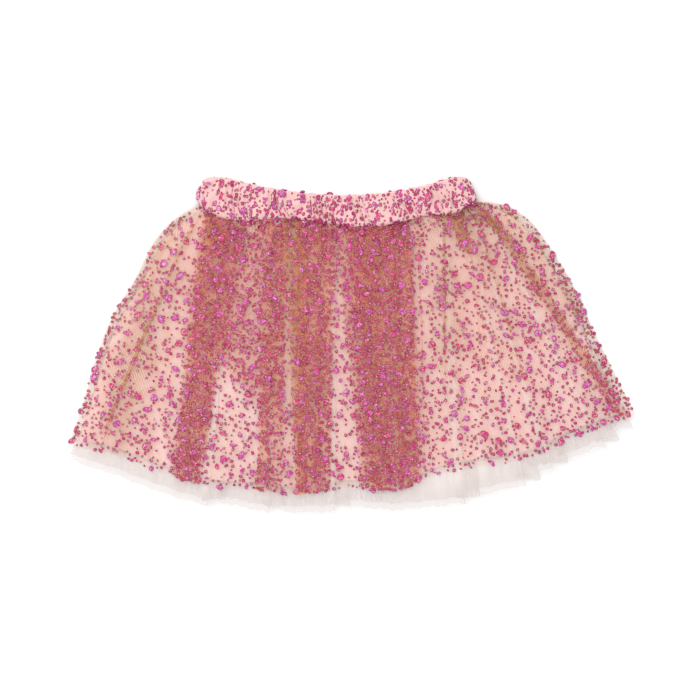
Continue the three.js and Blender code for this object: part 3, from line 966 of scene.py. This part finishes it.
def woven_material(name, colours, roughness, net_tint=""):
    """Plain weave of threads over and under, matt with a soft bloom, with or without net on it."""
    material, tree = new_material(name)
    flat = add(tree, "ShaderNodeUVMap", uv_map="Cloth")
    pace = np.pi / 10 / (THREAD_MM * MM)  # at scale 1 this texture has a band every pi / 10
    weave = [add(tree, "ShaderNodeTexWave", {"Vector": flat, "Scale": pace, "Distortion": 0.6, "Detail": 1.0},
                 bands_direction=direction, wave_profile="SIN").outputs["Fac"] for direction in ("X", "Y")]
    crossing = add(tree, "ShaderNodeMath", {0: weave[0], 1: weave[1]}, operation="MULTIPLY")
    place = add(tree, "ShaderNodeTexCoord").outputs["Object"]
    drift = add(tree, "ShaderNodeTexNoise", {"Vector": place, "Scale": DRIFT_PACE, "Detail": 3.0})
    mixed = add(tree, "ShaderNodeMath", {0: crossing, 1: drift.outputs["Fac"]}, operation="ADD")
    colour = add(tree, "ShaderNodeValToRGB", {"Fac": mixed}, [(0.3, colours[0]), (1.0, colours[1])])
    if net_tint:
        crossing = hex_net(tree, NET_HOLE_MM, CASING_THREAD)
        share = add(tree, "ShaderNodeMath", {0: crossing, 1: CASING_COVER}, operation="MULTIPLY")
        colour = add(tree, "ShaderNodeMix", {
            "Factor": share, 6: colour, 7: linear(net_tint)}, data_type="RGBA").outputs[2]
    bump = add(tree, "ShaderNodeBump", {"Height": crossing, "Strength": 0.25, "Distance": 0.0002})
    cotton = add(tree, "ShaderNodeBsdfPrincipled", {
        "Base Color": colour, "Roughness": roughness, "Sheen Weight": 0.25, "Sheen Roughness": 0.35,
        "Normal": bump})
    add(tree, "ShaderNodeOutputMaterial", {"Surface": cotton})
    return material


# Washed cotton lawn: quite matt and very even, it gives the pink that shows through the net
pink_lining = woven_material("pale pink cotton lining", ("#f6c8c0", "#fad6cf"), roughness=0.8)
# Firmer cotton with net stretched over it: deeper pink, and each net thread catches a little light
pink_band = woven_material(
    "pink cotton casing under net", ("#ecb8b8", "#f6cfcd"), roughness=0.7, net_tint="#d09c88")
print("materials:", pink_lining.name, "and", pink_band.name)

for sheet, finish in ((net_front, nude_net), (net_back, nude_net), (tulle_front, ivory_tulle),
                      (tulle_back, ivory_tulle), (lining_front, pink_lining), (lining_back, pink_lining),
                      (waistband, pink_band)):
    sheet.data.materials.append(finish)

# %% [markdown]
# ## Glitter dots
#
# The dots are drops of clear glue filled with magenta flakes, printed on the net before it is cut and
# gathered. They are low domes, round, oval or run together, most of them 2 to 3 mm across and a few up to
# 6 mm, and they keep a distance from each other. One Geometry Nodes tree prints them: it flattens the sheet
# to its UV map, spreads points evenly over the flat cloth, and looks up where each point went when the
# cloth was folded. There it sets one of a few small domes, turned at random, with a size and shade of its
# own. It is run once for the many small dots and once for the few large ones.

# %% Small domes to scatter
# The rim value at the large domes' inner ring: it sets how far in the painted rim shade reaches
INNER_RIM_SHADE = 0.5


def dome(name, corners, rings, bumps, height):
    """A low dome of radius 1 with an uneven outline, steeper at its rim; its points know how near that is,
    for the painted rim shade.
    """
    angles = np.arange(corners) * 2 * np.pi / corners
    outline = 1 + sum(size * np.cos(lobes * angles + start) for lobes, size, start in bumps)
    points, rim = [(0, 0, height)], [0.0]
    for out in rings:
        lift = height * (1 - out ** 3)
        points += [(out * r * np.cos(a), out * r * np.sin(a), lift) for r, a in zip(outline, angles)]
        rim += [out if out == 1.0 else INNER_RIM_SHADE] * corners
    faces = [(0, 1 + n, 1 + (n + 1) % corners) for n in range(corners)]
    for ring in range(len(rings) - 1):
        base = 1 + ring * corners
        faces += [(base + n, base + corners + n, base + corners + (n + 1) % corners, base + (n + 1) % corners)
                  for n in range(corners)]
    mesh = bpy.data.meshes.new(name)
    mesh.from_pydata(points, [], faces)
    mesh.attributes.new("rim", "FLOAT", "POINT").data.foreach_set("value", rim)
    mesh.polygons.foreach_set("use_smooth", [True] * len(faces))
    return bpy.data.objects.new(name, mesh)


def dome_set(name, domes):
    """A collection that the scattering picks its domes from."""
    group = bpy.data.collections.new(name)
    for item in domes:
        group.objects.link(item)
    return group


# Each dome: its corners, its rings outwards, its outline's bumps (lobes, size, start) and its height
small_domes = dome_set("small domes", [
    dome("small round", 7, (1.0,), ((2, 0.1, 0.0),), 0.2),
    dome("small oval", 7, (1.0,), ((2, 0.25, 1.0), (3, 0.1, 0.0)), 0.18),
    dome("small angular", 6, (1.0,), ((3, 0.16, 0.5),), 0.2),
])
large_domes = dome_set("large domes", [
    dome("large round", 12, (0.84, 1.0), ((2, 0.06, 0.0), (5, 0.05, 1.0)), 0.16),
    dome("large oval", 12, (0.84, 1.0), ((2, 0.18, 0.5), (3, 0.06, 2.0)), 0.15),
    dome("large pair", 14, (0.84, 1.0), ((2, 0.3, 0.0), (4, 0.08, 0.0), (5, 0.06, 1.0)), 0.15),
    dome("large lumpy", 14, (0.84, 1.0), ((3, 0.16, 0.7), (4, 0.1, 0.3), (7, 0.06, 2.0)), 0.15),
])

# %% The scattering tree
INPUTS = (
    ("Mesh", "Geometry"), ("Spacing", "Float"), ("Density", "Float"), ("Seed", "Int"), ("Smallest", "Float"),
    ("Largest", "Float"), ("Rarity", "Float"), ("Violet", "Float"), ("Domes", "Collection"),
    ("Finish", "Material"))
TWIST_SEED = 5
SHADE_SEED = 11
FULL_TURN = 6.283  # radians


def scatter_tree():
    """Even points on the flat cloth, moved to the folded cloth, each with a dome of random turn and size."""
    tree = bpy.data.node_groups.new("print dots", "GeometryNodeTree")
    for name, kind in INPUTS:
        tree.interface.new_socket(name, in_out="INPUT", socket_type="NodeSocket" + kind)
    tree.interface.new_socket("Dots", in_out="OUTPUT", socket_type="NodeSocketGeometry")
    given = add(tree, "NodeGroupInput").outputs
    sheet = given["Mesh"]
    cloth = add(tree, "GeometryNodeInputNamedAttribute", {"Name": "Cloth"}, data_type="FLOAT_VECTOR")
    share = add(tree, "GeometryNodeInputNamedAttribute", {"Name": "dots"}, data_type="FLOAT")
    place = add(tree, "GeometryNodeInputPosition")
    normal = add(tree, "GeometryNodeInputNormal")
    flat = add(tree, "GeometryNodeSetPosition", {"Geometry": sheet, "Position": cloth})
    spread = add(tree, "GeometryNodeDistributePointsOnFaces", {
        "Mesh": flat, "Distance Min": given["Spacing"], "Density Max": given["Density"],
        "Density Factor": share, "Seed": given["Seed"]}, distribute_method="POISSON")
    # What the folded sheet has where the point is on the flat cloth: its place, and the way its face points
    folded, facing = [add(tree, "GeometryNodeSampleUVSurface", {
        "Mesh": sheet, "Value": value, "UV Map": cloth, "Sample UV": place}, data_type="FLOAT_VECTOR")
        for value in (place, normal)]
    missed = add(tree, "FunctionNodeBooleanMath", {0: folded.outputs[1]}, operation="NOT")
    kept = add(tree, "GeometryNodeDeleteGeometry", {
        "Geometry": spread, "Selection": missed}, domain="POINT")
    kept = add(tree, "GeometryNodeStoreNamedAttribute", {
        "Geometry": kept, "Name": "upward", "Value": facing}, data_type="FLOAT_VECTOR", domain="POINT")
    moved = add(tree, "GeometryNodeSetPosition", {"Geometry": kept, "Position": folded})
    upward = add(tree, "GeometryNodeInputNamedAttribute", {"Name": "upward"}, data_type="FLOAT_VECTOR")
    # Three chances for each dot: its size, its turn and its shade
    chances = ((1.0, given["Seed"]), (FULL_TURN, TWIST_SEED), (given["Violet"], SHADE_SEED))
    sized, twisted, shaded = [
        add(tree, "FunctionNodeRandomValue", {2: 0.0, 3: most, "Seed": seed}, data_type="FLOAT").outputs[1]
        for most, seed in chances]
    rare = add(tree, "ShaderNodeMath", {0: sized, 1: given["Rarity"]}, operation="POWER")
    size = add(tree, "ShaderNodeMapRange", {
        "Value": rare, "To Min": given["Smallest"], "To Max": given["Largest"]})
    upright = add(tree, "FunctionNodeAlignRotationToVector", {"Vector": upward}, axis="Z")
    twist = add(tree, "ShaderNodeCombineXYZ", {"Z": twisted})
    turned = add(tree, "FunctionNodeRotateRotation", {
        "Rotation": upright, "Rotate By": twist}, rotation_space="LOCAL")
    domes = add(tree, "GeometryNodeCollectionInfo", {
        "Collection": given["Domes"], "Separate Children": True, "Reset Children": True})
    placed = add(tree, "GeometryNodeInstanceOnPoints", {
        "Points": moved, "Instance": domes, "Pick Instance": True, "Rotation": turned, "Scale": size})
    placed = add(tree, "GeometryNodeStoreNamedAttribute", {
        "Geometry": placed, "Name": "shade", "Value": shaded}, data_type="FLOAT", domain="INSTANCE")
    real = add(tree, "GeometryNodeRealizeInstances", {"Geometry": placed})
    finished = add(tree, "GeometryNodeSetMaterial", {"Geometry": real, "Material": given["Finish"]})
    add(tree, "NodeGroupOutput", {"Dots": finished})
    return tree


dot_tree = scatter_tree()
print("scattering tree nodes:", len(dot_tree.nodes))

# %% [markdown]
# ## Glitter
#
# Seen close, a dot is a heap of tiny flat foil flakes in glue. Each flake tilts its own way, so the light
# flashes off one and not the next; some flakes are also coloured nearly white, a painted glint beside deep
# crimson ones. Cells from a Voronoi texture stand for the flakes. The rim is coloured dark plum, a painted
# shade for the dots' shadowed edges. Real flakes are about 0.2 mm; here they are 0.8 mm, so that they still
# show. Each dot also has a shade of its own, from crimson to violet.

# %% Glitter material
FLAKE_MM = 0.8
FLAKE_LEAN = 0.8
SHADE_MIX = 0.52
# How far the painted shade at each dot's rim darkens its colour
RIM_PAINTED_SHADE = 0.96
# Flake colours: the near-white top of the ramp is a painted glint
FOIL_AND_PAINTED_GLINTS = [(0.0, "#a01040"), (0.3, "#c8205c"), (0.55, "#e44090"), (0.75, "#f484bc"), (0.88, "#fff4f8")]
SHADES = [(0.0, "#c81c50"), (0.4, "#cc2c78"), (0.75, "#cc3c9c"), (1.0, "#c448b0")]


def glitter_material():
    """Foil flakes in clear glue: partly metallic, each flake tilted its own way, so the dot sparkles, with
    painted glints and a painted shaded rim.
    """
    material, tree = new_material("magenta foil glitter in glue")
    place = add(tree, "ShaderNodeTexCoord").outputs["Object"]
    flakes = add(tree, "ShaderNodeTexVoronoi", {"Vector": place, "Scale": 1 / (FLAKE_MM * MM)}, feature="F1")
    pick = add(tree, "ShaderNodeSeparateColor", {"Color": flakes.outputs["Color"]})
    # The near-white flakes are a painted glint; the tilted normals further down give the real flashes
    foil = add(tree, "ShaderNodeValToRGB", {"Fac": pick}, FOIL_AND_PAINTED_GLINTS)
    shade = add(tree, "ShaderNodeAttribute", attribute_name="shade").outputs["Fac"]
    tone = add(tree, "ShaderNodeValToRGB", {"Fac": shade}, SHADES)
    toned = add(tree, "ShaderNodeMix", {"Factor": SHADE_MIX, 6: foil, 7: tone}, data_type="RGBA").outputs[2]
    rim = add(tree, "ShaderNodeAttribute", attribute_name="rim").outputs["Fac"]
    # Painted shade: towards each dome's rim the colour darkens to dark plum, standing in for the shade at the
    # dots' edges
    edge = add(tree, "ShaderNodeMapRange", {
        "Value": rim, "From Min": 0.35, "From Max": 0.98, "To Max": RIM_PAINTED_SHADE})
    rim_shaded = add(tree, "ShaderNodeMix", {
        "Factor": edge, 6: toned, 7: linear("#701034")}, data_type="RGBA").outputs[2]
    tilt = add(tree, "ShaderNodeVectorMath", {
        0: flakes.outputs["Color"], 1: (0.5, 0.5, 0.5)}, operation="SUBTRACT")
    lean = add(tree, "ShaderNodeVectorMath", {0: tilt, "Scale": FLAKE_LEAN}, operation="SCALE")
    normal = add(tree, "ShaderNodeNewGeometry").outputs["Normal"]
    tilted = add(tree, "ShaderNodeVectorMath", {0: normal, 1: lean}, operation="ADD")
    facet = add(tree, "ShaderNodeVectorMath", {0: tilted}, operation="NORMALIZE")
    glue = add(tree, "ShaderNodeBsdfPrincipled", {
        "Base Color": rim_shaded, "Metallic": 0.3, "Roughness": 0.42, "Normal": facet,
        "Coat Weight": 0.15, "Coat Roughness": 0.25})
    add(tree, "ShaderNodeOutputMaterial", {"Surface": glue})
    return material


glitter = glitter_material()
print("material:", glitter.name, "flakes, mm:", FLAKE_MM)

# %% Scatter the dots
PER_SQUARE_MM = 1e6  # Blender counts dots per square metre
PRESSED_FLAT = 0.02 * MM  # dots on the underside are pressed flat at this height over the table
DOT_RUNS = [  # domes, least spacing, most dots per square mm, smallest and largest radius, rarity, violet
    (small_domes, 2.75, 0.092, 0.85, 1.75, 1.3, 0.6),
    (large_domes, 8.2, 0.024, 1.6, 3.3, 2.2, 1.8),
]


def scatter(source, name, seed, spread=1.0, larger=1.0):
    """The glitter dots of one sheet as one plain mesh."""
    parts = []
    for number, (domes, spacing, density, smallest, largest, rarity, violet) in enumerate(DOT_RUNS):
        carrier = link(bpy.data.objects.new("carrier", source.data.copy()))
        modifier = carrier.modifiers.new("dots", "NODES")
        modifier.node_group = dot_tree
        values = {
            "Spacing": spacing * spread * MM, "Density": density * PER_SQUARE_MM, "Seed": seed + number,
            "Smallest": smallest * larger * MM, "Largest": largest * larger * MM, "Rarity": rarity,
            "Violet": violet, "Domes": domes, "Finish": glitter}
        for item in dot_tree.interface.items_tree:
            if item.in_out == "INPUT" and item.name in values:
                modifier[item.identifier] = values[item.name]
        ready = carrier.evaluated_get(bpy.context.evaluated_depsgraph_get())
        parts.append(link(bpy.data.objects.new(name, bpy.data.meshes.new_from_object(ready))))
        bpy.data.objects.remove(carrier)
    with bpy.context.temp_override(active_object=parts[0], selected_editable_objects=parts, object=parts[0]):
        bpy.ops.object.join()
    dots = parts[0]
    for point in dots.data.vertices:
        point.co.z = max(point.co.z, PRESSED_FLAT)
    dots.data.calc_loop_triangles()
    print(name, "triangles:", len(dots.data.loop_triangles))
    return dots


net_front_dots = scatter(net_front, "net_front_dots", seed=3)
net_back_dots = scatter(net_back, "net_back_dots", seed=21)
waistband_dots = scatter(waistband, "waistband_dots", seed=42, spread=0.84, larger=1.15)
for group in (small_domes, large_domes):
    for item in list(group.objects):
        bpy.data.objects.remove(item)
    bpy.data.collections.remove(group)

# %% [markdown]
# ## What each piece is
#
# Every piece rides on the skirt's one body. Each sheet and the waistband takes the place of one solid, which
# is hidden, and the dots belong to no solid. The front net's cloth is twice as wide as it lies, because folds
# and gathers take up the rest.

PIECES = [  # piece, the solid it replaces, material slot
    (waistband, "waistband", "waistband"),
    (net_front, "net_front", "net"),
    (net_back, "net_back", "net"),
    (tulle_front, "tulle_front", "tulle"),
    (tulle_back, "tulle_back", "tulle"),
    (lining_front, "lining_front", "lining"),
    (lining_back, "lining_back", "lining"),
]
for piece, node, slot in PIECES:
    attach(piece, "root")
    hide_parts(node)
for dots, slot in ((net_front_dots, "net"), (net_back_dots, "net"), (waistband_dots, "waistband")):
    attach(dots, "root")
